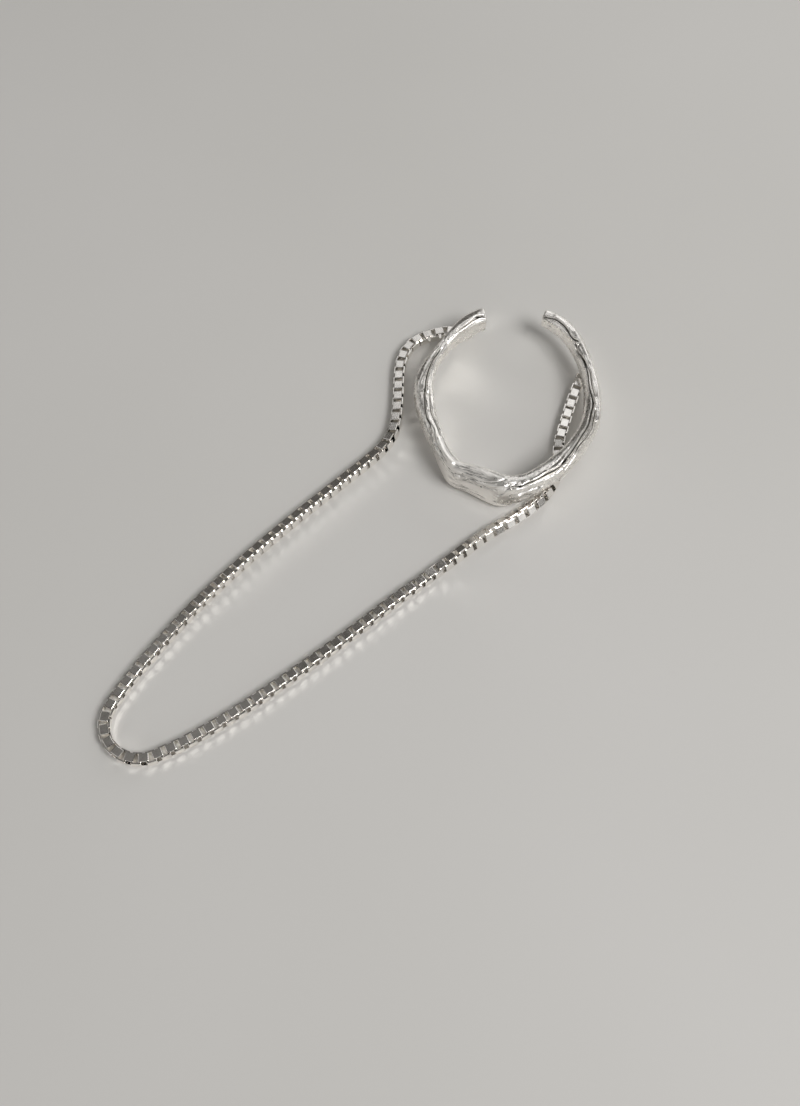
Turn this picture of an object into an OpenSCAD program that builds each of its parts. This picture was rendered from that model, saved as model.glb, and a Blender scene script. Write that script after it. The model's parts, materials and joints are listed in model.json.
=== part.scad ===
/* [Cuff] */
// Width of the cuff from side to side
cuff_w = 14.4; // [12:0.1:18]
// How far the folds stand up from the front face
fold_height = 0.16; // [0:0.01:0.25]
// How deep the long crease is cut into the front face
crease_depth = 0.22; // [0:0.01:0.3]
// Wire thickness of the two eyes soldered behind the arms
eye_wire = 0.18; // [0.14:0.01:0.2]
// Distance across an eye, between the middles of its wire
eye_d = 1.08; // [1.06:0.01:1.16]

/* [Chain] */
// Outside size of one square link
link_size = 0.72; // [0.7:0.01:0.74]
// Thickness of a link's strip
link_wall = 0.05; // [0.045:0.001:0.06]
// Width of a link's strip
link_strip = 0.28; // [0.22:0.01:0.3]
// Distance between the centres of two neighbouring links
link_pitch = 0.481; // [0.47:0.001:0.49]

/* [Hidden] */

// Stations round the band, from the right tip over the bottom to the left tip, as seen from the front.
// [angle, inner radius, outer radius, back height, front height, place of the crease across the front]
// The crease runs from -1 at the inner side to 1 at the outer side.
stations = [
    [67, 8.30, 9.48, 1.75, 3.10, -0.40],
    [56, 7.98, 9.27, 1.65, 3.10, -0.35],
    [45, 7.55, 8.70, 1.30, 3.05, -0.30],
    [34, 7.05, 8.12, 1.13, 3.00, -0.40],
    [23, 6.55, 7.65, 1.11, 3.00, -0.40],
    [8, 6.05, 7.33, 1.10, 3.00, -0.25],
    [-12, 5.70, 7.12, 1.10, 3.05, -0.08],
    [-27, 5.50, 6.88, 1.10, 3.10, 0.03],
    [-42, 5.42, 6.90, 1.10, 3.15, 0.15],
    [-55, 5.47, 7.03, 1.08, 3.20, 0.35],
    [-68, 5.72, 7.17, 1.00, 3.25, 0.40],
    [-82, 6.05, 7.45, 0.56, 3.25, 0.40],
    [-94, 5.95, 7.72, 0.15, 3.25, 0.40],
    [-104, 5.65, 7.38, 0.02, 3.20, 0.40],
    [-116, 5.70, 7.05, 0.02, 3.10, 0.40],
    [-128, 5.92, 7.22, 0.10, 3.05, 0.40],
    [-139, 5.65, 6.75, 0.30, 2.95, 0.35],
    [-152, 5.38, 6.42, 0.50, 2.90, 0.30],
    [-168, 5.25, 6.50, 0.65, 2.90, 0.25],
    [-185, 5.42, 6.95, 0.75, 2.90, 0.05],
    [-200, 5.88, 7.38, 0.85, 2.95, -0.20],
    [-212, 6.33, 7.50, 0.98, 3.00, -0.35],
    [-224, 6.68, 7.52, 1.10, 3.05, -0.40],
    [-236, 7.12, 7.92, 1.12, 3.10, -0.40],
    [-247, 7.36, 8.70, 1.12, 3.10, -0.40],
    [-259, 7.66, 9.20, 1.35, 3.10, -0.40]
];
// The stations give the band this width from side to side
drawn_w = 14.4;
cuff_scale = cuff_w / drawn_w;
steps = 5;
ring_count = (len(stations) - 1) * steps + 1;

// Half outline of the band's section, mirrored to the inner side.
// [share of the half thickness, share of the depth from the back]
flank = [[0.62, 0.00], [0.86, 0.07], [0.98, 0.20], [1.00, 0.38], [0.97, 0.55], [0.88, 0.70], [0.76, 0.82], [0.62, 0.92]];
front_half = 0.50;
front_count = 11;
crease_w = 0.10;
fold_gap = 0.32;
fold_w = 0.16;
tip_round = 0.18;
tip_share = 0.72;

// Smooth curve through the table's rows, for any column
function row(i) = stations[max(0, min(len(stations) - 1, i))];
function blend(a, b, c, d, u) =
    0.5 * (2 * b + (c - a) * u + (2 * a - 5 * b + 4 * c - d) * u * u + (3 * b - a - 3 * c + d) * u * u * u);
function station(t) =
    let (i = min(len(stations) - 2, floor(t)), u = t - i)
    [for (k = [0:len(stations[0]) - 1]) blend(row(i - 1)[k], row(i)[k], row(i + 1)[k], row(i + 2)[k], u)];

// Height of the cast folds over the front face, at place s across it and station t along the band
function bump(x, w) = exp(-(x / w) * (x / w));
function relief(s, crease, t) =
    let (wave = 0.5 + 0.5 * sin(t * 97 + 40 * s), knot = 0.5 + 0.5 * sin(t * 211 + 90))
    fold_height * (0.35 + 0.65 * wave) * bump(s - crease - fold_gap, fold_w)
    + fold_height * (0.4 + 0.6 * knot) * bump(s - crease + fold_gap, fold_w)
    - crease_depth * bump(s - crease, crease_w);

// One closed section: along the back, up the outer side, over the front and down the inner side
function section(t) =
    let (v = station(t), mid = (v[1] + v[2]) / 2, half = (v[2] - v[1]) / 2, depth = v[4] - v[3])
    concat(
        [for (p = flank) [mid + p[0] * half, v[3] + p[1] * depth]],
        [for (k = [0:front_count - 1])
            let (s = front_half * (1 - 2 * k / (front_count - 1)), crown = 1 - 0.25 * s * s)
            [mid + s * half, v[3] + depth * crown + relief(s, v[5], t) - fold_height]],
        [for (k = [len(flank) - 1:-1:0]) [mid - flank[k][0] * half, v[3] + flank[k][1] * depth]]
    );
function place(p, a) = [cuff_scale * p[0] * cos(a), cuff_scale * p[0] * sin(a), p[1]];
function ring(t) = let (a = station(t)[0]) [for (p = section(t)) place(p, a)];
// A tip closes with a smaller copy of its section, a little further along the band
function tip(t, side) =
    let (v = station(t), c = [(v[1] + v[2]) / 2, (v[3] + v[4]) / 2], a = v[0] + side * tip_round / c[0] * 57.3)
    [for (p = section(t)) place(c + tip_share * (p - c), a)];

sides = 2 * len(flank) + front_count;
last_t = len(stations) - 1;
band_rings = concat([tip(0, 1)], [for (i = [0:ring_count - 1]) ring(i / steps)], [tip(last_t, -1)]);
band_points = [for (r = band_rings) each r];
band_faces = concat(
    [for (i = [0:len(band_rings) - 2]) for (k = [0:sides - 1])
        let (a = i * sides + k, b = i * sides + (k + 1) % sides)
        each [[a, a + sides, b + sides], [a, b + sides, b]]],
    [[for (k = [0:sides - 1]) k]],
    [[for (k = [sides - 1:-1:0]) (len(band_rings) - 1) * sides + k]]
);

// The eyes stand under the arms and touch the surface that the cuff lies on.
// [x, y, direction in which the chain leaves]
left_eye = [-2.85, 7.92, 168];
right_eye = [6.29, 4.2, 250];
eye_z = eye_d / 2 + eye_wire / 2;

// Middle line of the chain as it lies, from the left eye round the loop to the right eye
hang = 0.626;
function eye_start(e) = [e[0] + hang * cos(e[2]), e[1] + hang * sin(e[2])];
route = concat([eye_start(left_eye)], [
    [-4.25, 8.15], [-5.2, 8.02], [-6.2, 7.68], [-7.05, 7.1], [-7.65, 6.2], [-7.98, 5.1], [-8.1, 3.9],
    [-8.14, 2.6], [-8.2, 1.4], [-8.3, 0.3], [-8.5, -0.8], [-8.88, -1.75], [-9.45, -2.6], [-10.3, -3.5],
    [-12.3, -5.35], [-16.1, -8.85], [-19.4, -12.1], [-22.8, -15.8], [-25.6, -19.4], [-26.6, -20.8],
    [-27.4, -22.05], [-28.01, -23.14], [-28.28, -23.86], [-28.33, -24.63], [-28.15, -25.37],
    [-27.76, -26.04], [-27.19, -26.56], [-26.5, -26.89], [-25.74, -27.0], [-24.98, -26.89],
    [-24.3, -26.6], [-22.6, -25.75], [-20.4, -24.4], [-18.2, -22.9], [-14.7, -20.3], [-11.5, -17.8],
    [-8.5, -15.3], [-4.9, -12.5], [-1.7, -9.95], [0.35, -8.65], [1.75, -7.6], [2.75, -6.6], [3.45, -5.5],
    [3.85, -4.3], [4.0, -3.1], [4.15, -2.0], [4.5, -0.75], [4.95, 0.65], [5.42, 2.0]
], [eye_start(right_eye)]);
lift_run = 3.8;
// How far the chain is turned about its own line, with its left side up when the angle is positive.
// [distance from the left eye, angle]
turns = [
    [0, 0], [2.5, 2], [7, 10], [12, 14], [28, 14], [34, 5], [42, 0], [47, -3], [56, -5], [71.5, -6],
    [73.5, -22], [76, -30], [80, -42], [84, -34], [88.5, 0], [100, 0]
];
route_steps = 16;

function route_row(i) =
    i < 0 ? 2 * route[0] - route[1]
    : i > len(route) - 1 ? 2 * route[len(route) - 1] - route[len(route) - 2]
    : route[i];
function route_at(t) =
    let (i = min(len(route) - 2, floor(t)), u = t - i)
    blend(route_row(i - 1), route_row(i), route_row(i + 1), route_row(i + 2), u);
path = [for (k = [0:(len(route) - 1) * route_steps]) route_at(k / route_steps)];
run = [for (k = 0, d = 0; k < len(path); d = d + (k + 1 < len(path) ? norm(path[k + 1] - path[k]) : 0), k = k + 1) d];
total = run[len(run) - 1];
// An odd number of links, so that both end links lie flat and thread their eyes
link_count = 2 * round(total / link_pitch / 2) + 1;
spacing = total / (link_count - 1);

function ease(u) = let (c = max(0, min(1, u))) c * c * (3 - 2 * c);
function turn(d) = lookup(d, turns);
// The chain rests on the strips' edges
function rest_z(d) = link_size / 2 * cos(turn(d)) + link_strip / 2 * abs(sin(turn(d)));
function height_at(d) = rest_z(d) + (eye_z - rest_z(d)) * (1 - ease(min(d, total - d) / lift_run));
function spot(d) =
    let (
        k = max([for (j = [0:len(run) - 2]) if (run[j] <= d + 0.000001) j]),
        u = (d - run[k]) / (run[k + 1] - run[k]),
        p = path[k] + u * (path[k + 1] - path[k])
    )
    [p[0], p[1], height_at(d)];

module band() {
    polyhedron(band_points, band_faces, convexity = 8);
}

// A wire ring that stands on edge, in line with the chain
module eye(e) {
    translate([e[0], e[1], eye_z])
        rotate([90, 0, e[2]])
            rotate_extrude($fn = 32)
                translate([eye_d / 2, 0])
                    circle(d = eye_wire, $fn = 20);
}

module cuff() {
    color("silver")
        union() {
            band();
            eye(left_eye);
            eye(right_eye);
        }
}

// Every second link stands across its neighbours, so that its strip runs through its neighbours' openings
module link(flat) {
    rotate([flat ? 0 : 90, 0, 0])
        difference() {
            cube([link_size, link_size, link_strip], center = true);
            cube([link_size - 2 * link_wall, link_size - 2 * link_wall, 2 * link_strip], center = true);
        }
}

module chain() {
    color("gainsboro")
        for (i = [0:link_count - 1]) {
            d = i * spacing;
            back = spot(max(0, d - spacing / 2));
            ahead = spot(min(total, d + spacing / 2));
            way = ahead - back;
            translate(spot(d))
                rotate([0, -atan2(way[2], norm([way[0], way[1]])), atan2(way[1], way[0])])
                    rotate([turn(d), 0, 0])
                        link(i % 2 == 0);
        }
}

cuff();
chain();
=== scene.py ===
import json
import math

import bpy
import numpy as np
from mathutils import Matrix, Vector, noise
from mathutils.bvhtree import BVHTree

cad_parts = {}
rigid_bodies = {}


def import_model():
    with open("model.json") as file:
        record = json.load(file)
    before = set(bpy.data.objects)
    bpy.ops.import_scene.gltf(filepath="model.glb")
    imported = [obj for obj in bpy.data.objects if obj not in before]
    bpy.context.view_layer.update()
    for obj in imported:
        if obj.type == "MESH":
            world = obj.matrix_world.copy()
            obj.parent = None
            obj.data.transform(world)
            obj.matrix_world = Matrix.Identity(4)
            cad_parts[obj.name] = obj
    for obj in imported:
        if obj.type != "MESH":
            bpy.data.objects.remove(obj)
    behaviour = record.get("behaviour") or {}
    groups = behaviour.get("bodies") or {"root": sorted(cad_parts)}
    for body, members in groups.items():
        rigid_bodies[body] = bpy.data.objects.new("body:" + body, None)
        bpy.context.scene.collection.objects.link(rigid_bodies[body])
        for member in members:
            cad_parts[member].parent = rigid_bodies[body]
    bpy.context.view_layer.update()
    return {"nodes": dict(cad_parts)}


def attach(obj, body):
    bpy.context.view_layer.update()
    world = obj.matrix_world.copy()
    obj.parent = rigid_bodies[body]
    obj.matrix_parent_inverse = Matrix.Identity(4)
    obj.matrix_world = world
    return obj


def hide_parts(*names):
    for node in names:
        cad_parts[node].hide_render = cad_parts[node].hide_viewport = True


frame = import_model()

# An open ear cuff of cast silver with its loop of box chain, as they lie on a table.
# The scene is in metres. The jewel's own sizes are in millimetres, and MM turns them into metres.
MM = 0.001


# Camera. The photo is taken as 800 by 1106 pixels, and its pixel places are named here.
PHOTO_W, PHOTO_H = 800, 1106
# Focal length in pixels, and the camera's angle above the table
FOCAL_PX = 1250
VIEW_ELEVATION = math.radians(64)
# The cuff's middle, the pixel that it falls on and its distance from the camera
RING_MIDDLE = Vector((0, 0, 2.2))
RING_PX = (506, 408)
RING_DISTANCE = 95
# Taller side of the film in millimetres, and the nearest distance seen in metres
FILM_SIDE = 36
NEAREST_SEEN = 0.002


def place_camera():
    """Looks down on the cuff so that its middle falls on the photo's pixel."""
    ahead = Vector((0, math.cos(VIEW_ELEVATION), -math.sin(VIEW_ELEVATION)))
    upward = Vector((0, math.sin(VIEW_ELEVATION), math.cos(VIEW_ELEVATION)))
    mm_per_px = RING_DISTANCE / FOCAL_PX
    right_mm = (RING_PX[0] - PHOTO_W / 2) * mm_per_px
    up_mm = (PHOTO_H / 2 - RING_PX[1]) * mm_per_px
    place = RING_MIDDLE - RING_DISTANCE * ahead - Vector((right_mm, 0, 0)) - up_mm * upward
    lens = bpy.data.cameras.new("camera")
    lens.sensor_width = FILM_SIDE
    lens.lens = FOCAL_PX / PHOTO_H * FILM_SIDE
    lens.clip_start = NEAREST_SEEN
    camera = bpy.data.objects.new("camera", lens)
    camera.location = place * MM
    camera.rotation_euler = (math.pi / 2 - VIEW_ELEVATION, 0, 0)
    bpy.context.scene.collection.objects.link(camera)
    bpy.context.scene.camera = camera


# Modelling helpers
# Points closer than this are one point: for pieces made here in millimetres, and for CAD corners in metres
SAME_POINT = 0.0001
SAME_CORNER = 0.000001


def deselect_all():
    """Leaves nothing selected, so that the next operator acts on its own piece alone."""
    for thing in bpy.context.view_layer.objects:
        thing.select_set(False)


def pick(piece):
    """Selects one piece and makes it the active one."""
    deselect_all()
    piece.select_set(True)
    bpy.context.view_layer.objects.active = piece


def named(name):
    """Gives the piece that was just added its name."""
    piece = bpy.context.object
    piece.name = name
    piece.data.name = name
    return piece


def settle(piece):
    """Puts the piece's place into its mesh and leaves its object at the origin."""
    pick(piece)
    bpy.ops.object.transform_apply(location=True, rotation=True, scale=True)


def apply_all(piece):
    """Applies every modifier on the piece, in order."""
    pick(piece)
    for name in [modifier.name for modifier in piece.modifiers]:
        bpy.ops.object.modifier_apply(modifier=name)


def remove(piece):
    """Deletes a piece that was only needed for a while, with its mesh."""
    mesh = piece.data
    bpy.data.objects.remove(piece)
    bpy.data.meshes.remove(mesh)


def join(name, pieces):
    """Joins several pieces into one mesh."""
    pick(pieces[0])
    for piece in pieces[1:]:
        piece.select_set(True)
    bpy.ops.object.join()
    return named(name)


def read_points(mesh):
    """The mesh's points as rows of x, y and z."""
    points = np.empty(len(mesh.vertices) * 3)
    mesh.vertices.foreach_get("co", points)
    return points.reshape(-1, 3)


def write_points(mesh, points):
    """Moves the mesh's points to these rows of x, y and z."""
    mesh.vertices.foreach_set("co", points.ravel())
    mesh.update()


def read_normals(mesh):
    """The outward direction at every point of the mesh."""
    normals = np.empty(len(mesh.vertices) * 3)
    mesh.vertex_normals.foreach_get("vector", normals)
    return normals.reshape(-1, 3)


def note_points(mesh, name, kind, field, values):
    """Keeps one value or one place for every point of the mesh, for the piece's finish to read."""
    kept = mesh.attributes.new(name, kind, "POINT")
    kept.data.foreach_set(field, values.ravel())


# The band's main form, measured on the CAD cuff
FIRST_ANGLE, LAST_ANGLE = 66.9, -258.9
RING_COUNT = 96
# Heights at which the sides are measured, and places across the front and the back, in half thicknesses
SIDE_HEIGHTS = (1.3, 1.6, 1.9, 2.2, 2.5)
FACE_PLACES = (-0.4, -0.2, 0.0, 0.2, 0.4)
BACK_PLACES = (-0.35, 0.0, 0.35)
# Rays start well outside the band, or inside the metal to reach its back
FAR = 20
INSIDE_METAL = 2.2


def hits(surface, starts, direction):
    """Where the rays from these starts meet a surface, without the rays that miss it."""
    found = [surface.ray_cast(start, direction)[0] for start in starts]
    return [hit for hit in found if hit is not None]


def measure_band(angles):
    """Middle radius, half thickness, middle height and half depth of the CAD band, a row for each angle."""
    mesh = frame["nodes"]["cuff"].data
    points = [point.co / MM for point in mesh.vertices]
    surface = BVHTree.FromPolygons(points, [tuple(face.vertices) for face in mesh.polygons])
    up, down = Vector((0, 0, 1)), Vector((0, 0, -1))
    rows = []
    for angle in angles:
        out = Vector((math.cos(math.radians(angle)), math.sin(math.radians(angle)), 0))
        from_inside = [up * z for z in SIDE_HEIGHTS]
        from_outside = [up * z + out * FAR for z in SIDE_HEIGHTS]
        inner = min(hit.xy.length for hit in hits(surface, from_inside, out))
        outer = max(hit.xy.length for hit in hits(surface, from_outside, -out))
        middle, half = (inner + outer) / 2, (outer - inner) / 2
        over_front = [out * (middle + s * half) + up * FAR for s in FACE_PLACES]
        over_back = [out * (middle + s * half) + up * INSIDE_METAL for s in BACK_PLACES]
        front = max(hit.z for hit in hits(surface, over_front, down))
        back = max(hit.z for hit in hits(surface, over_back, down))
        rows.append((middle, half, (front + back) / 2, (front - back) / 2))
    return np.array(rows)


# The bar is made straight, with x along it, y as its later radius and z as its height, and is then bent round
BEND_RADIUS = 6.6
SECTION_POINTS = 14
# How square the section is in front and at the back: 1 is an ellipse, and less is squarer
FRONT_SQUARE, BACK_SQUARE = 0.78, 0.60
# The sections are drawn this much larger, because the rounding draws them in
SWELL = 1.035
# Rings past each end of the bar: [distance past the last full section, share of its size]
TIP_RINGS = ((0.10, 1.0), (0.17, 0.96), (0.20, 0.84))
BAR_LEVELS = 3


def along_of(angle):
    """Distance along the straight bar for an angle round the cuff, in millimetres."""
    return math.radians(FIRST_ANGLE - angle) * BEND_RADIUS


def squared(direction):
    """Point of the section in a direction from its middle, as shares of its half thickness and half depth."""
    across, upward = math.cos(direction), math.sin(direction)
    power = FRONT_SQUARE if upward > 0 else BACK_SQUARE
    return math.copysign(abs(across) ** power, across), math.copysign(abs(upward) ** power, upward)


def extrude_to(old, new):
    """Extrudes the open end of the bar to a new section. Both are (x, middle, half, height, half depth)."""
    old_x, old_middle, old_half, old_height, old_depth = old
    x, middle, half, height, depth = new
    step = (x - old_x, middle - old_middle, height - old_height)
    bpy.ops.mesh.extrude_region_move(TRANSFORM_OT_translate={"value": step})
    size = (1, half / old_half, depth / old_depth)
    bpy.ops.transform.resize(value=size, center_override=(x, middle, height))


def past_end(section, away, share):
    """A section past an end of the bar, with this share of the end section's size."""
    x, middle, half, height, depth = section
    return (x + away, middle, half * share, height, depth * share)


def model_bar(angles, rows):
    """A straight bar with the band's changing section, extruded from one tip to the other."""
    sections = []
    for angle, (middle, half, height, depth) in zip(angles, rows):
        sections.append((along_of(angle), middle, half * SWELL, height, depth * SWELL))
    start = [past_end(sections[0], -away, share) for away, share in reversed(TIP_RINGS)]
    end = [past_end(sections[-1], away, share) for away, share in TIP_RINGS]
    sections = start + sections + end
    deselect_all()
    bpy.ops.mesh.primitive_circle_add(
        vertices=SECTION_POINTS, radius=1, fill_type="NGON", rotation=(0, math.pi / 2, 0)
    )
    bar = named("cast_cuff")
    settle(bar)
    x, middle, half, height, depth = sections[0]
    for point in bar.data.vertices:
        across, upward = squared(math.atan2(point.co.z, point.co.y))
        point.co = (x, middle + across * half, height + upward * depth)
    bpy.ops.object.mode_set(mode="EDIT")
    bpy.ops.mesh.select_all(action="SELECT")
    for old, new in zip(sections, sections[1:]):
        extrude_to(old, new)
    bpy.ops.mesh.select_all(action="SELECT")
    bpy.ops.mesh.remove_doubles(threshold=SAME_POINT)
    bpy.ops.mesh.normals_make_consistent(inside=False)
    bpy.ops.object.mode_set(mode="OBJECT")
    rounding = bar.modifiers.new("rounding", "SUBSURF")
    rounding.levels = rounding.render_levels = BAR_LEVELS
    apply_all(bar)
    return bar


# Relief of the casting. Places are (angle, across). Across is 0 at the middle of the front face, 1 at its
# outer corner, 2 at the middle of the outer side and 3 at the back corner. It is negative on the inner half.
# Grooves: (route, half width, depth)
GROOVES = (
    # Right tip and right arm
    (((68, -0.75), (63, -0.30), (58, -0.25), (53, -0.40), (50, -0.68), (46, -0.40), (44.5, -0.20)),
     0.070, 0.16),
    (((44, -0.85), (40, -1.20), (37, -1.00), (33, -0.72), (30, -0.60)), 0.110, 0.22),
    (((32, -0.66), (27, -0.50), (22, -0.55), (16, -0.62), (10, -0.48), (3, -0.14), (0, -0.02)), 0.060, 0.17),
    (((33, -0.48), (27, -0.28), (23, -0.14), (17, -0.24), (11, -0.10), (6, 0.12)), 0.050, 0.12),
    # The long crease of the lower right, and the lines beside it down to the foot
    (((3, -0.14), (-3, -0.05), (-9, -0.11), (-18, 0.06), (-27, 0.03), (-37, 0.15), (-46, 0.32), (-53, 0.50)),
     0.070, 0.20),
    (((-6, 0.24), (-13, 0.38), (-20, 0.68), (-28, 0.68), (-36, 0.47), (-42, 0.66), (-48, 1.10), (-53, 1.45)),
     0.060, 0.17),
    (((-43, -0.22), (-50, -0.10), (-57, 0.05), (-64, 0.13)), 0.045, 0.09),
    (((-50, 0.52), (-57, 0.72), (-64, 0.62), (-71, 0.74), (-79, 0.78), (-85, 0.92)), 0.095, 0.24),
    (((-50, 0.62), (-55, 0.84), (-60, 0.98)), 0.045, 0.10),
    (((-56, 2.15), (-60, 1.95), (-66, 1.87), (-74, 1.98)), 0.055, 0.13),
    (((-71, 1.84), (-77, 1.67), (-84, 1.60)), 0.085, 0.18),
    # The foot and the knee
    (((-84, 0.80), (-87, 0.64), (-90, 0.75), (-92, 1.04), (-93.5, 1.37), (-96, 1.62)), 0.060, 0.22),
    (((-94, 0.00), (-99, 0.45), (-104, 0.80), (-111, 1.10), (-118, 1.12), (-127, 1.40)), 0.055, 0.12),
    (((-97, 1.10), (-106, 1.42), (-112, 1.56), (-119, 1.70), (-127, 1.88)), 0.050, 0.10),
    (((-88, 1.95), (-91, 2.05), (-93, 2.20)), 0.050, 0.10),
    (((-96, -0.38), (-106, -0.36), (-114, -0.50)), 0.045, 0.08),
    # Left side, left arm and left tip
    (((-134, 0.78), (-141, 0.72), (-147, 1.05), (-154, 1.08), (-162, 0.44), (-168, 0.52), (-174, 0.34),
      (-191, -0.10)), 0.055, 0.14),
    (((-138, 1.52), (-146, 1.50), (-156, 1.58), (-164, 1.40)), 0.050, 0.11),
    (((-152, -0.28), (-160, -0.36), (-170, -0.28), (-184, -0.50), (-202, -0.92)), 0.050, 0.12),
    (((-191, -0.12), (-199, -0.24), (-207, -0.38), (-215, -0.43), (-224, -0.50)), 0.060, 0.15),
    (((-196, 0.45), (-206, 0.10), (-218, 0.02), (-230, 0.10)), 0.045, 0.08),
    (((-224, -1.34), (-231, -1.26), (-238, -1.10), (-243, -0.76), (-249, -0.60), (-254, -0.40),
      (-258, -0.36)), 0.065, 0.17),
    (((-255, -0.20), (-258, -0.42), (-260, -0.60)), 0.070, 0.14),
    # Finer lines of the left side and the knee
    (((-138, 1.10), (-144, 0.80), (-151, 0.55), (-157, 0.25), (-162, 0.26), (-167, 0.42)), 0.040, 0.11),
    (((-140, 1.46), (-147, 1.34), (-154, 1.22), (-161, 1.16), (-169, 1.10), (-174, 0.86)), 0.040, 0.11),
    (((-128, -0.36), (-135, -0.38), (-143, -0.46), (-153, -0.66), (-162, -1.00)), 0.045, 0.12),
    (((-174, 0.80), (-181, 0.60), (-189, 0.50), (-196, 0.47)), 0.040, 0.10),
    (((-206, -0.72), (-212, -0.82), (-220, -0.80), (-230, -0.72)), 0.045, 0.11),
    (((-108, 1.20), (-114, 1.28), (-119, 1.36), (-124, 1.22), (-129, 1.42)), 0.040, 0.09),
)
# Ridges: (route, half width, height)
RIDGES = (
    # Right side
    (((62, 0.25), (54, 0.20), (46, 0.25)), 0.22, 0.05),
    (((48, 0.10), (42, 0.05), (34, 0.15), (24, 0.35), (12, 0.45), (0, 0.65), (-12, 0.85)), 0.20, 0.10),
    (((30, -0.40), (20, -0.38), (10, -0.28), (0, 0.12), (-14, 0.16), (-26, 0.36), (-38, 0.32), (-48, 0.70)),
     0.09, 0.08),
    # Bottom
    (((-52, 0.22), (-60, 0.38), (-68, 0.33), (-76, 0.45)), 0.10, 0.09),
    (((-56, 1.20), (-66, 1.25), (-76, 1.25)), 0.22, 0.09),
    (((-72, 2.25), (-80, 2.38), (-86, 2.45)), 0.25, 0.12),
    (((-94, 0.55), (-103, 0.95), (-112, 1.32), (-124, 1.45)), 0.09, 0.08),
    # Left side
    (((-129, 0.28), (-137, 0.40), (-146, 0.33), (-156, 0.26), (-168, 0.16), (-180, 0.02), (-192, -0.36)),
     0.14, 0.13),
    (((-140, 1.25), (-150, 1.30), (-160, 0.95), (-172, 0.75), (-188, 0.30)), 0.12, 0.09),
    (((-155, -0.55), (-168, -0.55), (-184, -0.85), (-202, -1.20), (-214, -1.30)), 0.10, 0.08),
    (((-190, -0.40), (-202, -0.62), (-214, -0.85), (-226, -0.95), (-238, -0.60)), 0.13, 0.10),
    (((-240, -0.20), (-248, -0.10), (-256, 0.00)), 0.16, 0.06),
)
# Lumps, and pits where the height is negative: (angle, across, half length, half width, height)
LUMPS = (
    (44, -0.20, 0.16, 0.14, 0.09),
    (47, -0.42, 0.12, 0.10, 0.07),
    (-85, 1.78, 0.22, 0.24, 0.17),
    (-86, 0.62, 0.12, 0.12, 0.09),
    (-88, 0.80, 0.10, 0.11, 0.10),
    (-90, 0.98, 0.12, 0.10, 0.09),
    (-84, 0.72, 0.07, 0.07, -0.10),
    (-87, 0.45, 0.08, 0.07, -0.08),
    (-98, 2.30, 0.12, 0.09, -0.12),
    (-96, 2.24, 0.08, 0.08, 0.07),
    (-90, 1.66, 0.07, 0.07, -0.09),
    (-107, 1.52, 0.06, 0.06, -0.10),
    (-99, 0.60, 0.10, 0.07, 0.08),
    (-109, 1.28, 0.10, 0.07, 0.07),
    (-117, 1.34, 0.10, 0.08, 0.07),
    (-122, 1.42, 0.12, 0.09, 0.08),
    (-120, 1.02, 0.07, 0.06, -0.08),
    (-125, 1.60, 0.08, 0.07, -0.08),
    (-165, 1.30, 0.12, 0.10, 0.07),
    (-171, 1.15, 0.10, 0.09, 0.07),
    (-177, 0.85, 0.11, 0.09, 0.08),
    (-183, 0.65, 0.10, 0.09, 0.07),
    (-188, 0.42, 0.09, 0.08, 0.07),
    (-174, 1.00, 0.05, 0.05, -0.08),
    (-180, 0.75, 0.05, 0.05, -0.08),
    (-187, 0.52, 0.06, 0.05, -0.09),
)
# A route runs out over this many degrees past its ends, and is drawn in this many steps for each point
END_FADE = 2.5
ROUTE_STEPS = 12
# A groove's walls are steeper the higher the power is. A low lip stands on each side, some half widths away.
CUT_POWER = 1.6
LIP_SHARE = 0.30
LIP_AWAY = 2.1
# A groove of this depth or more is fully dark with painted shade
DARK_DEPTH = 0.15
# Grains of the casting: (size along, across and outward, seed)
WAVER_GRAIN = ((0.9, 0.5, 1), 3.0)
BARK_GRAIN = ((0.75, 0.16, 1), 11.0)
NUB_GRAIN = ((0.22, 0.17, 1), 23.0)
SWELL_GRAIN = ((1.6, 1.1, 1.1), 37.0)
# How far the lines waver, and how far each grain stands up
WAVER = 0.035
BARK_HEIGHT, NUB_HEIGHT, SWELL_HEIGHT = 0.022, 0.016, 0.025
# How rough the bark is everywhere, and where it is rougher: (angle, reach, strength)
BARK_BASE = 0.25
BARK_PLACES = ((-110, 30, 0.45), (-172, 34, 0.9), (-70, 30, 0.5))
# The bark ends at this place across the band and fades before it, and its hollows are shaded
BARK_EDGE, BARK_FADE = 2.4, 0.8
BARK_SHADE, BARK_SHADE_START, BARK_SHADE_MOST = 1.2, 0.45, 0.5
# The knee is satin, except on its inner side
SATIN_ANGLE, SATIN_REACH, SATIN_EDGE = -120, 32, -2
# Keeps divisions clear of zero
TINY = 0.001


def smooth_route(route, angle):
    """Place across the band of a route at each angle, and how much of it is there, from 0 to 1."""
    knots = sorted(route)
    a = np.array([knot[0] for knot in knots], dtype=float)
    s = np.array([knot[1] for knot in knots])
    fine = np.linspace(a[0], a[-1], ROUTE_STEPS * len(a))
    slope = np.gradient(s, a)
    index = np.clip(np.searchsorted(a, fine, side="right") - 1, 0, len(a) - 2)
    span = a[index + 1] - a[index]
    u = (fine - a[index]) / span
    curve = (
        s[index] * (1 + 2 * u) * (1 - u) ** 2
        + slope[index] * span * u * (1 - u) ** 2
        + s[index + 1] * u * u * (3 - 2 * u)
        - slope[index + 1] * span * u * u * (1 - u)
    )
    past_start = np.clip((angle - a[0] + END_FADE) / END_FADE, 0, 1)
    before_end = np.clip((a[-1] + END_FADE - angle) / END_FADE, 0, 1)
    there = past_start * before_end
    return np.interp(angle, fine, curve), there * there * (3 - 2 * there)


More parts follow.
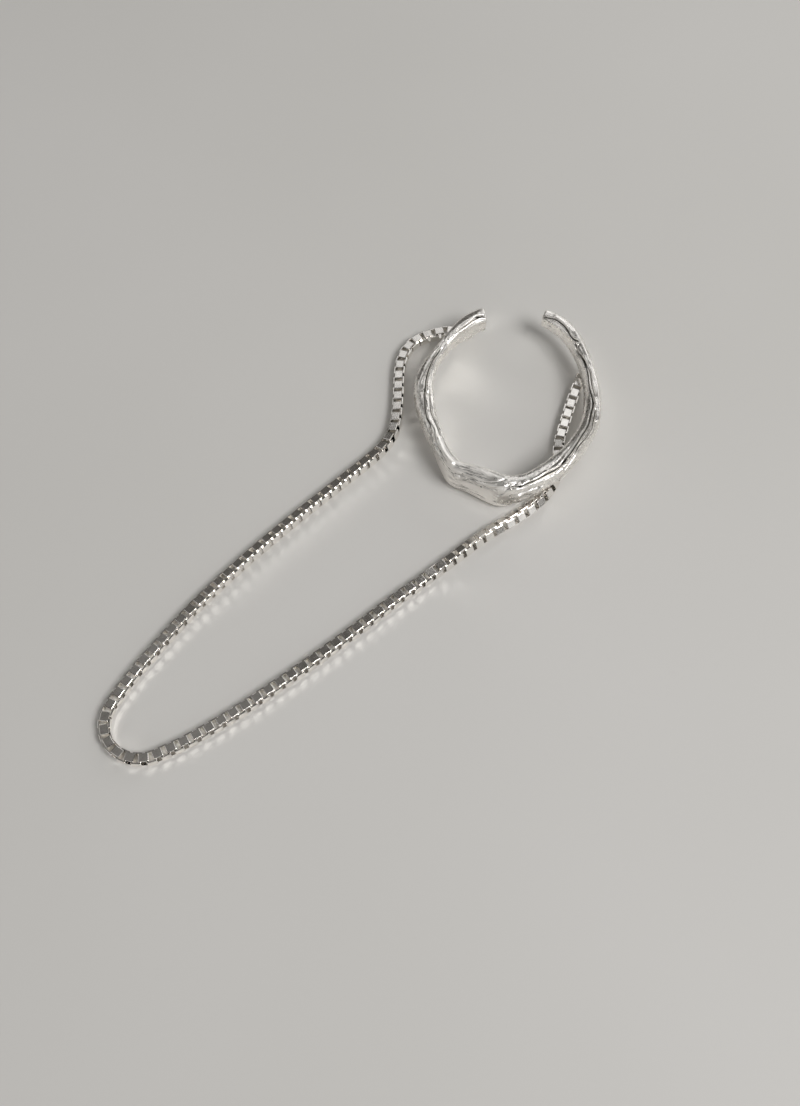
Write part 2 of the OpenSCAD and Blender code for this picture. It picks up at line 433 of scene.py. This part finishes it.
def grain(points, size, seed):
    """Smooth noise from -1 to 1 at rows of points, with features of that size along each axis."""
    shift = Vector((seed, 2 * seed, 3 * seed))
    scaled = points / np.array(size)
    return np.array([noise.noise(Vector(row) + shift) for row in scaled])


def near(angle, middle, reach):
    """1 at an angle, falling smoothly to 0 at reach from it."""
    u = np.clip(1 - np.abs(angle - middle) / reach, 0, 1)
    return u * u * (3 - 2 * u)


def carve(bar, angles, rows):
    """Works the creases, ridges, lumps and bark into the straight bar, and marks where painted shade darkens
    the metal: in its creases, pits and bark hollows.
    """
    mesh = bar.data
    points = read_points(mesh)
    angle = FIRST_ANGLE - np.degrees(points[:, 0] / BEND_RADIUS)
    rising = angles[::-1]
    middle, half, height, depth = (np.interp(angle, rising, rows[::-1, k]) for k in range(4))

    # Place across the band: p and q are the shares of the half thickness and of the half depth
    p = (points[:, 1] - middle) / half
    q = (points[:, 2] - height) / depth
    side = np.where(p < 0, -1.0, 1.0)
    size = np.maximum(np.abs(p), TINY)
    across = np.where(q > size, p / np.maximum(q, TINY), side * (2 - np.clip(q / size, -2, 1)))
    unit = np.where(np.abs(across) < 1, half, depth)
    # The skin laid flat, along and across the band, which the grains and the finish follow
    flat = np.stack([points[:, 0], across * unit, np.zeros(len(points))], axis=1)
    waver = grain(flat, *WAVER_GRAIN) * WAVER

    # Creases with their lips, ridges, and then lumps and pits
    relief = np.zeros(len(points))
    # dark is painted shade, strongest in the deep grooves, the pits and the bark hollows
    dark = np.zeros(len(points))
    for route, width, deep in GROOVES:
        place, there = smooth_route(route, angle)
        off = np.abs((across - place) * unit + waver)
        cut = there * np.exp(-((off / width) ** CUT_POWER))
        lip = there * np.exp(-(((off - LIP_AWAY * width) / width) ** 2))
        relief += deep * (LIP_SHARE * lip - cut)
        dark = np.maximum(dark, cut * min(1, deep / DARK_DEPTH))
    for route, width, high in RIDGES:
        place, there = smooth_route(route, angle)
        off = (across - place) * unit + waver
        relief += high * there * np.exp(-((off / width) ** 2))
    for lump_angle, lump_across, length, width, high in LUMPS:
        along = np.radians(angle - lump_angle) * BEND_RADIUS
        off = (across - lump_across) * unit
        spot = np.exp(-((along / length) ** 2) - (off / width) ** 2)
        relief += high * spot
        # Pits get painted shade
        if high < 0:
            dark = np.maximum(dark, spot)

    # Bark with small nubs, and a slow swell over the whole casting
    rough = np.full(len(points), BARK_BASE)
    for rough_angle, reach, strength in BARK_PLACES:
        rough += strength * near(angle, rough_angle, reach)
    front = np.clip((BARK_EDGE - np.abs(across)) / BARK_FADE, 0, 1)
    bark = grain(flat, *BARK_GRAIN)
    nubs = grain(flat, *NUB_GRAIN)
    swell = grain(points, *SWELL_GRAIN)
    relief += front * rough * (BARK_HEIGHT * bark + NUB_HEIGHT * nubs) + SWELL_HEIGHT * swell
    # The bark's hollows get painted shade
    hollow = np.clip(-bark * BARK_SHADE - BARK_SHADE_START, 0, BARK_SHADE_MOST)
    dark = np.maximum(dark, front * rough * hollow)
    satin = near(angle, SATIN_ANGLE, SATIN_REACH) * np.clip(across - SATIN_EDGE, 0, 1)

    write_points(mesh, points + read_normals(mesh) * relief[:, None])
    # The painted shade is kept on the points for the finish to read
    note_points(mesh, "painted_crease_shade", "FLOAT", "value", np.clip(dark, 0, 1))
    note_points(mesh, "satin", "FLOAT", "value", satin)
    note_points(mesh, "band_place", "FLOAT_VECTOR", "vector", flat)


def bend_round(bar):
    """Bends the straight bar round into the open ring and puts it in metres."""
    points = read_points(bar.data)
    angle = math.radians(FIRST_ANGLE) - points[:, 0] / BEND_RADIUS
    radius = points[:, 1]
    above_table = np.maximum(points[:, 2], 0)
    bent = np.stack([radius * np.cos(angle), radius * np.sin(angle), above_table], axis=1)
    write_points(bar.data, bent * MM)


# The two eyes under the arms
EYE_ACROSS = 1.08
EYE_WIRE = 0.18
# Distance from an eye's middle to the middle of the link that hangs in it
HANG = 0.626
WIRE_POINTS, EYE_STEPS = 12, 36
# Solder widens the wire from this share of the eye's height upwards
SOLDER_START = 0.8
SOLDER_SPREAD = 1.5


def model_eye(link_place, link_along):
    """A ring of wire that stands under the band, widened at the top where solder holds it."""
    heading = Vector((link_along.x, link_along.y, 0)).normalized()
    centre = link_place - HANG * heading
    centre.z = (EYE_ACROSS + EYE_WIRE) / 2
    side = Vector((-heading.y, heading.x, 0))
    deselect_all()
    bpy.ops.mesh.primitive_circle_add(
        vertices=WIRE_POINTS,
        radius=EYE_WIRE / 2,
        location=(EYE_ACROSS / 2, 0, 0),
        rotation=(math.pi / 2, 0, 0),
    )
    eye = named("eye")
    settle(eye)
    bpy.ops.object.mode_set(mode="EDIT")
    bpy.ops.mesh.select_all(action="SELECT")
    bpy.ops.mesh.spin(steps=EYE_STEPS, angle=math.tau, center=(0, 0, 0), axis=(0, 0, 1))
    bpy.ops.mesh.select_all(action="SELECT")
    bpy.ops.mesh.remove_doubles(threshold=SAME_POINT)
    bpy.ops.mesh.select_all(action="DESELECT")
    bpy.ops.object.mode_set(mode="OBJECT")
    for point in eye.data.vertices:
        point.select = point.co.y > SOLDER_START * EYE_ACROSS / 2
    bpy.ops.object.mode_set(mode="EDIT")
    bpy.ops.transform.resize(
        value=(SOLDER_SPREAD, 1, SOLDER_SPREAD), center_override=(0, EYE_ACROSS / 2, 0)
    )
    bpy.ops.mesh.select_all(action="SELECT")
    bpy.ops.mesh.normals_make_consistent(inside=False)
    bpy.ops.object.mode_set(mode="OBJECT")
    # The ring was made lying flat. Standing it up like this mirrors it, so its faces are turned out again.
    turn = Matrix((heading, (0, 0, 1), side)).transposed()
    eye.data.transform(Matrix.Translation(centre) @ turn.to_4x4())
    eye.data.transform(Matrix.Scale(MM, 4))
    eye.data.flip_normals()
    eye.data.update()
    return eye


# The chain
# The CAD links are slimmer than these, so that they stay clear of each other
LINK_LONG, LINK_WIDE = 0.70, 0.86
LINK_WALL = 0.10
LINK_STRIP = 0.60
CORNER_ROUND, CORNER_STEPS = 0.05, 3
EDGE_ROUND, EDGE_STEPS = 0.03, 2
# Above this share, a direction or a length counts as whole when faces and edges are picked
NEARLY = 0.94
# Only the links near the left eye lie left of the cuff's middle and this far above it, seen from the front
LEFT_EYE_ABOVE = 5
# An opening whose direction has less than this share upwards looks to the side
HALF_TURNED = 0.71


def read_links():
    """Place, direction along the chain and direction of the opening of every CAD link, from end to end."""
    pick(frame["nodes"]["chain"])
    bpy.ops.object.duplicate()
    copy = bpy.context.object
    bpy.ops.object.mode_set(mode="EDIT")
    bpy.ops.mesh.select_all(action="SELECT")
    bpy.ops.mesh.remove_doubles(threshold=SAME_CORNER)
    bpy.ops.object.mode_set(mode="OBJECT")
    points = read_points(copy.data) / MM
    part = list(range(len(points)))

    def root_of(k):
        """The point that stands for all those that are joined to point k."""
        while part[k] != k:
            part[k] = part[part[k]]
            k = part[k]
        return k

    for edge in copy.data.edges:
        a, b = (root_of(k) for k in edge.vertices)
        part[a] = b
    groups = {}
    for k in range(len(points)):
        groups.setdefault(root_of(k), []).append(k)
    links = []
    for group in groups.values():
        own = points[group]
        middle = own.mean(axis=0)
        # A link is thinnest in the direction of its opening
        axes = np.linalg.eigh(np.cov((own - middle).T))[1]
        links.append((Vector(middle), Vector(axes[:, 0])))
    remove(copy)
    return in_order(links)


def in_order(links):
    """Sorts the links from the left eye to the right one, and adds each one's direction along the chain."""
    rest = list(links)
    near_left_eye = [link for link in rest if link[0].x < 0 and link[0].y > LEFT_EYE_ABOVE]
    first = max(near_left_eye, key=lambda link: link[0].x)
    row = [first]
    rest.remove(first)
    while rest:
        nearest = min(rest, key=lambda link: (link[0] - row[-1][0]).length)
        rest.remove(nearest)
        row.append(nearest)
    out = []
    for k, (middle, hole) in enumerate(row):
        back, ahead = row[max(0, k - 1)][0], row[min(len(row) - 1, k + 1)][0]
        along = (ahead - back).normalized()
        along = (along - along.dot(hole) * hole).normalized()
        out.append((middle, along, hole.normalized()))
    return out


def raised(middle, hole):
    """Place of a full link, raised where it would otherwise reach below the table."""
    upward = abs(hole.z)
    lean = upward if upward < HALF_TURNED else math.sqrt(max(0, 1 - upward * upward))
    lowest = LINK_WIDE / 2 * math.sqrt(1 - lean * lean) + LINK_STRIP / 2 * lean
    return Vector((middle.x, middle.y, max(middle.z, lowest)))


def model_link():
    """One square link of flat strip: a block whose ends are inset and joined through, with rounded edges."""
    deselect_all()
    bpy.ops.mesh.primitive_cube_add(size=1)
    link = named("link")
    for point in link.data.vertices:
        point.co = (point.co.x * LINK_LONG, point.co.y * LINK_WIDE, point.co.z * LINK_STRIP)
    bpy.ops.object.mode_set(mode="EDIT")
    bpy.ops.mesh.select_mode(type="FACE")
    bpy.ops.mesh.select_all(action="DESELECT")
    bpy.ops.object.mode_set(mode="OBJECT")
    for face in link.data.polygons:
        face.select = abs(face.normal.z) > NEARLY
    bpy.ops.object.mode_set(mode="EDIT")
    bpy.ops.mesh.inset(thickness=LINK_WALL, use_individual=True)
    bpy.ops.mesh.bridge_edge_loops()
    bpy.ops.mesh.select_all(action="SELECT")
    bpy.ops.mesh.normals_make_consistent(inside=False)
    bpy.ops.mesh.select_mode(type="EDGE")
    bevel_outside(link, upright=True, width=CORNER_ROUND, segments=CORNER_STEPS)
    bevel_outside(link, upright=False, width=EDGE_ROUND, segments=EDGE_STEPS)
    bpy.ops.mesh.select_mode(type="VERT")
    bpy.ops.object.mode_set(mode="OBJECT")
    return link


def bevel_outside(link, upright, width, segments):
    """Rounds a link's four upright outer edges, or the rims of its outer side. Works in edit mode."""
    bpy.ops.mesh.select_all(action="DESELECT")
    bpy.ops.object.mode_set(mode="OBJECT")
    flat_long, flat_wide = LINK_LONG / 2 - CORNER_ROUND, LINK_WIDE / 2 - CORNER_ROUND
    for edge in link.data.edges:
        ends = [link.data.vertices[k].co for k in edge.vertices]
        past = [math.hypot(max(0, abs(end.x) - flat_long), max(0, abs(end.y) - flat_wide)) for end in ends]
        outer = min(past) > NEARLY * CORNER_ROUND
        stands = abs(ends[0].z - ends[1].z) > NEARLY * LINK_STRIP
        on_rim = not stands and abs(ends[0].z) > NEARLY * LINK_STRIP / 2
        edge.select = outer and (stands if upright else on_rim)
    bpy.ops.object.mode_set(mode="EDIT")
    bpy.ops.mesh.bevel(offset=width, segments=segments, affect="EDGES")


def model_chain(links):
    """The whole chain: one modelled link, copied to the place and turn of every CAD link."""
    pattern = model_link()
    copies = []
    for middle, along, hole in links:
        copy = pattern.copy()
        copy.data = pattern.data.copy()
        bpy.context.scene.collection.objects.link(copy)
        side = hole.cross(along)
        turn = Matrix((along, side, hole)).transposed()
        place = Matrix.Translation(raised(middle, hole))
        copy.data.transform(Matrix.Scale(MM, 4) @ place @ turn.to_4x4())
        copies.append(copy)
    remove(pattern)
    return join("box_chain", copies)


# Finishes
class Finish:
    """A node material on one Principled shader, with short calls for its nodes."""

    def __init__(self, name):
        self.material = bpy.data.materials.new(name)
        self.material.use_nodes = True
        self.tree = self.material.node_tree
        self.shader = self.tree.nodes["Principled BSDF"]

    def node(self, kind, **settings):
        """Adds one node with these settings."""
        made = self.tree.nodes.new(kind)
        for key, value in settings.items():
            setattr(made, key, value)
        return made

    def link(self, source, target):
        """Joins one socket to another."""
        self.tree.links.new(source, target)

    def feed(self, source, socket):
        """Joins a value or a colour to one of the shader's own sockets."""
        self.link(source, self.shader.inputs[socket])

    def constant(self, **values):
        """Sets the shader's own sockets, named with _ for each space."""
        for key, value in values.items():
            self.shader.inputs[key.replace("_", " ")].default_value = value

    def mark(self, name):
        """A value that the piece's points carry."""
        return self.node("ShaderNodeAttribute", attribute_name=name).outputs["Fac"]

    def speckle(self, scale, detail=3, stretch=(1, 1, 1), rough=0.5, along_band=False):
        """Noise in the object's own space, per metre, or along and across the band, per millimetre."""
        if along_band:
            place = self.node("ShaderNodeAttribute", attribute_name="band_place").outputs["Vector"]
        else:
            place = self.node("ShaderNodeTexCoord").outputs["Object"]
        shape = self.node("ShaderNodeMapping")
        shape.inputs["Scale"].default_value = stretch
        speck = self.node("ShaderNodeTexNoise")
        speck.inputs["Scale"].default_value = scale
        speck.inputs["Detail"].default_value = detail
        speck.inputs["Roughness"].default_value = rough
        self.link(place, shape.inputs["Vector"])
        self.link(shape.outputs["Vector"], speck.inputs["Vector"])
        return speck.outputs["Fac"]

    def spread(self, value, low, high, out_low=0, out_high=1):
        """Maps a value's range onto another one, and keeps it inside."""
        span = self.node("ShaderNodeMapRange")
        for key, number in zip(("From Min", "From Max", "To Min", "To Max"), (low, high, out_low, out_high)):
            span.inputs[key].default_value = number
        self.link(value, span.inputs["Value"])
        return span.outputs["Result"]

    def combine(self, a, b, operation="ADD"):
        """Two values put together by one arithmetic step. The second one may be a number."""
        step = self.node("ShaderNodeMath", operation=operation)
        self.link(a, step.inputs[0])
        if isinstance(b, (int, float)):
            step.inputs[1].default_value = b
        else:
            self.link(b, step.inputs[1])
        return step.outputs["Value"]

    def blend(self, share, first, second):
        """A colour between two colours, by a share."""
        mix = self.node("ShaderNodeMix", data_type="RGBA")
        self.link(share, mix.inputs["Factor"])
        for socket, colour in ((mix.inputs[6], first), (mix.inputs[7], second)):
            if isinstance(colour, tuple):
                socket.default_value = (*colour, 1)
            else:
                self.link(colour, socket)
        return mix.outputs[2]

    def bump(self, height, distance, strength=1.0):
        """Small relief in the shading, with its distance in metres."""
        relief = self.node("ShaderNodeBump")
        relief.inputs["Distance"].default_value = distance
        relief.inputs["Strength"].default_value = strength
        self.link(height, relief.inputs["Height"])
        self.feed(relief.outputs["Normal"], "Normal")


# Noise stays mostly inside these limits, and is spread from there onto the range that a finish needs
CLOUD_LIMITS = (0.35, 0.7)
FINE_LIMITS = (0.3, 0.7)
# Cast silver: its two brightnesses, and the colour of the painted shade in its creases and hair cracks
CAST_BRIGHT, CAST_DULL = (0.988, 0.960, 0.920), (0.927, 0.900, 0.861)
PAINTED_SHADE_COLOUR = (0.036, 0.033, 0.029)
# Marks along the band: features per millimetre along it and across it
STREAKS = (0.40, 5.5, 1)
HAIRS, HAIR_RAGGED = (0.28, 3.2, 1), 0.55
PATCHES = (0.40, 0.9, 1)
# Hair cracks are where one noise crosses its middle, within this width, inside the patches
NOISE_MIDDLE = 0.5
HAIR_WIDTH = (0.004, 0.026)
PATCH_LIMITS = (0.48, 0.60)
# How much painted shade darkens the hair cracks, and how deep they are in the bump
CRACK_DARK, CRACK_DEEP = 0.85, 0.35
# Where a crease's mark of painted shade starts to darken the metal, and where it is full
PAINTED_SHADE_LIMITS = (0.30, 0.80)
# Features per metre of its clouds of brightness, its polish and its skin
CAST_CLOUDS, CAST_POLISH, CAST_SKIN = 900, 2500, 9000
SKIN_SHARE = 0.25
# Roughness of the bright metal, and what creases and the satin knee add to it
CAST_ROUGH = (0.20, 0.36)
CREASE_LIMITS, CREASE_ROUGH = (0.1, 0.8), 0.3
SATIN_ROUGH = 0.22
CAST_RELIEF = 0.000009


def cast_silver():
    """Bright cast silver with bark-like streaks and hair cracks along the band, darkened by painted shade in
    its creases and cracks.
    """
    finish = Finish("cast_silver")
    # The creases' mark is painted shade, which darkens the metal and also makes it rougher
    crease = finish.mark("painted_crease_shade")
    streaks = finish.speckle(1, stretch=STREAKS, along_band=True)
    lines = finish.speckle(1, stretch=HAIRS, rough=HAIR_RAGGED, along_band=True)
    hair = finish.combine(finish.combine(lines, NOISE_MIDDLE, "SUBTRACT"), 0, "ABSOLUTE")
    patches = finish.spread(finish.speckle(1, detail=2, stretch=PATCHES, along_band=True), *PATCH_LIMITS)
    cracks = finish.combine(finish.spread(hair, *HAIR_WIDTH, 1, 0), patches, "MULTIPLY")
    dark_cracks = finish.combine(cracks, CRACK_DARK, "MULTIPLY")
    # Painted shade: the creases and the hair cracks darken the metal towards the shade colour
    painted_shade = finish.combine(finish.spread(crease, *PAINTED_SHADE_LIMITS), dark_cracks, "MAXIMUM")
    cloud = finish.spread(finish.speckle(CAST_CLOUDS, detail=4), *CLOUD_LIMITS)
    bright = finish.blend(cloud, CAST_BRIGHT, CAST_DULL)
    finish.feed(finish.blend(painted_shade, bright, PAINTED_SHADE_COLOUR), "Base Color")

    polish = finish.spread(finish.speckle(CAST_POLISH), *FINE_LIMITS, *CAST_ROUGH)
    rough = finish.combine(polish, finish.spread(crease, *CREASE_LIMITS, 0, CREASE_ROUGH))
    rough = finish.combine(rough, finish.combine(finish.mark("satin"), SATIN_ROUGH, "MULTIPLY"))
    finish.feed(rough, "Roughness")

    skin = finish.combine(finish.speckle(CAST_SKIN), SKIN_SHARE, "MULTIPLY")
    deep_cracks = finish.combine(cracks, CRACK_DEEP, "MULTIPLY")
    finish.bump(finish.combine(finish.combine(streaks, skin), deep_cracks, "SUBTRACT"), CAST_RELIEF)
    finish.constant(Metallic=1.0)
    return finish.material


# Polished silver strip: colours, features per metre of its clouds, rubbing and scratches, and roughness
STRIP_BRIGHT, STRIP_DULL = (0.948, 0.920, 0.881), (0.835, 0.810, 0.773)
STRIP_CLOUDS, STRIP_RUBBING, STRIP_SCRATCHES = 1500, 6000, 12000
STRIP_ROUGH = (0.10, 0.18)
STRIP_RELIEF, SCRATCH_STRENGTH = 0.000004, 0.5


def chain_silver():
    """Polished silver strip with fine rubbing marks."""
    finish = Finish("chain_silver")
    cloud = finish.spread(finish.speckle(STRIP_CLOUDS), *CLOUD_LIMITS)
    finish.feed(finish.blend(cloud, STRIP_BRIGHT, STRIP_DULL), "Base Color")
    finish.feed(finish.spread(finish.speckle(STRIP_RUBBING), *FINE_LIMITS, *STRIP_ROUGH), "Roughness")
    finish.bump(finish.speckle(STRIP_SCRATCHES, detail=2), STRIP_RELIEF, SCRATCH_STRENGTH)
    finish.constant(Metallic=1.0)
    return finish.material


# Table
TABLE_SIDE = 1.2
TABLE_DARK, TABLE_PALE = (0.540, 0.528, 0.503), (0.580, 0.567, 0.547)
TABLE_CLOUDS = 14
TABLE_ROUGH, TABLE_GLOSS = 0.55, 0.3


def table_top():
    """Smooth pale grey table."""
    finish = Finish("pale_table")
    cloud = finish.spread(finish.speckle(TABLE_CLOUDS), *FINE_LIMITS)
    finish.feed(finish.blend(cloud, TABLE_DARK, TABLE_PALE), "Base Color")
    finish.constant(Roughness=TABLE_ROUGH, Specular_IOR_Level=TABLE_GLOSS)
    return finish.material


def lay_floor():
    """One large pale surface under the jewel."""
    deselect_all()
    bpy.ops.mesh.primitive_plane_add(size=TABLE_SIDE)
    floor = named("floor")
    settle(floor)
    floor.data.materials.append(table_top())


# Lights: (name, place in metres, width and height in metres, watts)
LIGHTS = (
    # Broad soft lights all round, and a small high one that casts the shadows
    ("key", (0.34, -0.20, 0.25), (0.42, 0.50), 0.44),
    ("high", (0.20, -0.15, 0.36), (0.20, 0.18), 1.24),
    ("front", (-0.10, -0.45, 0.15), (0.60, 0.25), 0.33),
    ("window", (0.30, 0.40, 0.20), (0.60, 0.34), 0.70),
    ("left", (-0.40, -0.02, 0.26), (0.50, 0.36), 0.34),
    # Faint near lights over the jewel, which the flat sides of the links mirror
    ("top", (0.030, 0.094, 0.150), (0.080, 0.084), 0.0176),
    ("strip", (-0.042, 0.125, 0.150), (0.084, 0.036), 0.0063),
    ("pale", (-0.059, 0.044, 0.150), (0.038, 0.048), 0.00050),
)
ROOM_COLOUR = (0.084, 0.080, 0.074)


def soft_light(name, place, size, strength):
    """A rectangular soft light that faces the cuff. Its strength is in watts."""
    lamp = bpy.data.lights.new(name, "AREA")
    lamp.shape = "RECTANGLE"
    lamp.size, lamp.size_y = size
    lamp.energy = strength
    light = bpy.data.objects.new(name, lamp)
    light.location = place
    light.rotation_euler = Vector(place).to_track_quat("Z", "Y").to_euler()
    bpy.context.scene.collection.objects.link(light)


def light_scene():
    """The soft lights in a dim, warm grey room."""
    for name, place, size, watts in LIGHTS:
        soft_light(name, place, size, watts)
    world = bpy.data.worlds.new("room")
    world.use_nodes = True
    world.node_tree.nodes["Background"].inputs["Color"].default_value = (*ROOM_COLOUR, 1)
    bpy.context.scene.world = world
    bpy.context.scene.view_settings.view_transform = "Standard"
    # The light that the chain throws on the table stays sharp
    bpy.context.scene.cycles.blur_glossy = 0


def finish_piece(piece, node, material):
    """Gives a piece its finish and its place in the frame."""
    piece.data.materials.append(material)
    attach(piece, "root")
    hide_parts(node)


# The whole jewel
place_camera()
links = read_links()
ring_angles = np.linspace(FIRST_ANGLE, LAST_ANGLE, RING_COUNT)
ring_rows = measure_band(ring_angles)
band = model_bar(ring_angles, ring_rows)
carve(band, ring_angles, ring_rows)
bend_round(band)
first_place, first_along = links[0][:2]
last_place, last_along = links[-1][:2]
left_eye = model_eye(first_place, first_along)
right_eye = model_eye(last_place, -last_along)
cuff = join("cast_cuff", [band, left_eye, right_eye])
bpy.ops.object.shade_smooth()
finish_piece(cuff, "cuff", cast_silver())
chain = model_chain(links)
bpy.ops.object.shade_flat()
finish_piece(chain, "chain", chain_silver())
lay_floor()
light_scene()
